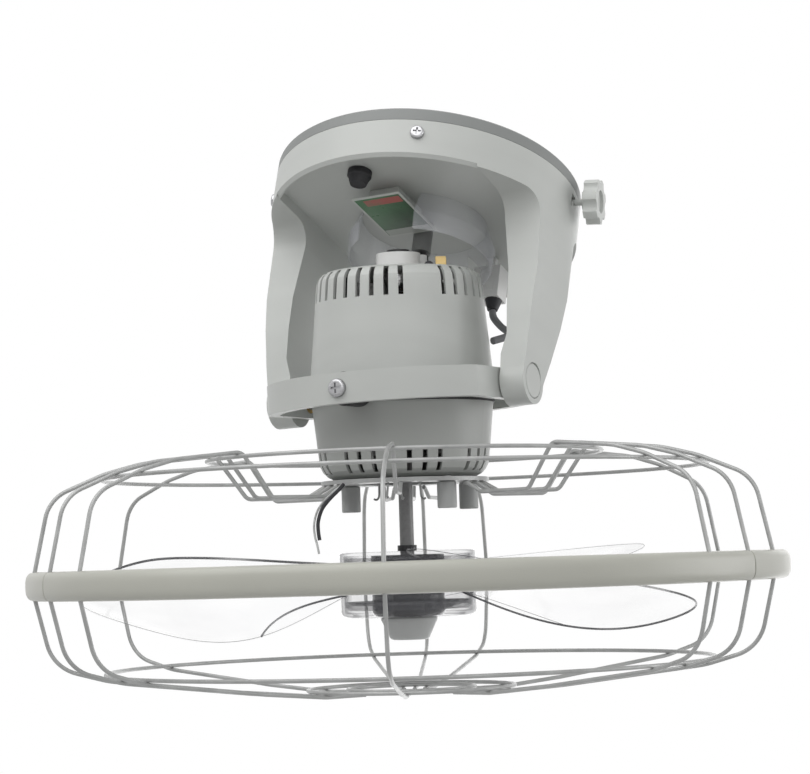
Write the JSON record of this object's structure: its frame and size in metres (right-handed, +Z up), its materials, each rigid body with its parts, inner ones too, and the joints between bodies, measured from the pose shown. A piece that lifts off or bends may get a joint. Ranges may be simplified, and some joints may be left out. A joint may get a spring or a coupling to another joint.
{
  "type": "orbital ceiling fan",
  "caption": "Ceiling fan with a round base and two arms, a gimbal ring, a slotted motor head that swings round a cone, clear blades and a sparse round wire guard.",
  "frame": {"origin": "middle of the ceiling plate's upper face, which lies on the ceiling", "axes": "+Z up, out of the ceiling face; +X from the base's axis to one gimbal arm; +Y the way the head's motor end leans away from, so the stored pose is the leaning one in the picture"},
  "size_m": [0.456, 0.4253, 0.3658],
  "materials": {
    "plate_steel": "grey powder coat",
    "housing_plastic": "fine matt, light warm grey",
    "knob_plastic": "matt mid grey",
    "band_plastic": "smooth, cream grey",
    "clear_plastic": "clear moulded plastic",
    "white_plastic": "smooth white",
    "label_print": "printed label, green with a pale border and no words",
    "amber_plastic": "amber, smooth",
    "post_plastic": "dark grey",
    "black_plastic": "matt black",
    "black_rubber": "matt black",
    "lead_jacket": "dull dark grey jacket",
    "screw_steel": "zinc plated",
    "shaft_steel": "turned",
    "core_steel": "stacked laminations",
    "winding_copper": "enamelled copper wire",
    "cast_metal": "grey painted casting",
    "bush_bronze": "sintered bronze",
    "gear_brass": "cut brass",
    "wire_grey": "grey coated steel wire",
    "spinner_grey": "smooth mid grey"
  },
  "bodies": {
    "base": {"ceiling_plate": "plate_steel", "base_housing": "housing_plastic", "housing_screws": "screw_steel", "terminal_box": "housing_plastic", "rating_label": "label_print", "cable_clamp": "black_rubber", "lead_connector": "white_plastic", "dust_boot": "clear_plastic", "strain_relief": "black_rubber", "orbit_post": "post_plastic", "pivot_pins": "screw_steel", "pivot_caps": "housing_plastic", "supply_lead": "lead_jacket"},
    "knob": {"lock_knob": "housing_plastic"},
    "ring": {"gimbal_ring": "housing_plastic", "ring_bushes": "bush_bronze", "pivot_screws": "screw_steel"},
    "head": {"motor_frame": "cast_metal", "stator_core": "core_steel", "stator_windings": "winding_copper", "upper_bracket": "cast_metal", "lower_bracket": "cast_metal", "shaft_bearings": "bush_bronze", "through_bolts": "screw_steel", "upper_cover": "housing_plastic", "lower_cover": "housing_plastic", "gear_plate": "cast_metal", "gear_case": "white_plastic", "tail_terminal": "amber_plastic", "capacitor": "white_plastic", "safety_lead": "black_rubber", "guard_plate": "wire_grey", "guard_nuts": "knob_plastic", "upper_wires": "wire_grey", "upper_large_ring": "wire_grey", "shoulder_ring": "wire_grey", "band_front": "band_plastic", "band_right": "band_plastic", "band_left": "band_plastic", "band_clips": "band_plastic", "lower_wires": "wire_grey", "lower_large_ring": "wire_grey", "lower_small_rings": "wire_grey"},
    "rotor": {"rotor_core": "core_steel", "rotor_shaft": "shaft_steel", "drive_worm": "shaft_steel", "shaft_collar": "black_plastic", "blade_hub": "clear_plastic", "fan_blades": "clear_plastic", "spinner": "spinner_grey"},
    "cross": {"worm_wheel": "gear_brass", "cross_shaft": "shaft_steel", "reduction_worm": "shaft_steel"},
    "idler": {"idler_shaft": "shaft_steel", "idler_gear": "gear_brass", "idler_pinion": "gear_brass"},
    "crank": {"crank_gear": "white_plastic", "crank_shaft": "shaft_steel", "crank_arm": "black_plastic", "crank_ball": "black_plastic"}
  },
  "joints": [
    {"name": "ring_tilt", "type": "hinge", "parent": "base", "child": "ring", "pos_m": [0, 0, -0.144], "axis": [1, 0, 0], "range_deg": [-45, 0.05], "deforming": ["supply_lead"]},
    {"name": "head_tilt", "type": "hinge", "parent": "ring", "child": "head", "pos_m": [0, 0, -0.144], "axis": [0, 0.9239, 0.3827], "range_deg": [-24.5, 20.5], "deforming": ["supply_lead"]},
    {"name": "rotor_spin", "type": "hinge", "parent": "head", "child": "rotor", "pos_m": [-0.00349, 0.03825, -0.23633], "axis": [0.0349, -0.3825, 0.9233], "continuous": true},
    {"name": "cross_spin", "type": "hinge", "parent": "head", "child": "cross", "pos_m": [0.01705, -0.02236, -0.09001], "axis": [0, 0.9239, 0.3827], "continuous": true},
    {"name": "idler_spin", "type": "hinge", "parent": "head", "child": "idler", "pos_m": [0.00466, -0.00775, -0.08349], "axis": [0.0349, -0.3825, 0.9233], "continuous": true},
    {"name": "crank_spin", "type": "hinge", "parent": "head", "child": "crank", "pos_m": [0.00293, -0.03213, -0.06644], "axis": [0.0349, -0.3825, 0.9233], "continuous": true},
    {"name": "knob_turn", "type": "hinge", "parent": "base", "child": "knob", "pos_m": [0.09816, 0.01908, -0.0145], "axis": [0.9816, 0.1908, 0], "range_deg": [0, 360]}
  ],
  "couplings": [
    {"joint": "cross_spin", "follows": "rotor_spin", "ratio": -0.083333},
    {"joint": "idler_spin", "follows": "rotor_spin", "ratio": 0.010417},
    {"joint": "crank_spin", "follows": "rotor_spin", "ratio": -0.0052083}
  ]
}
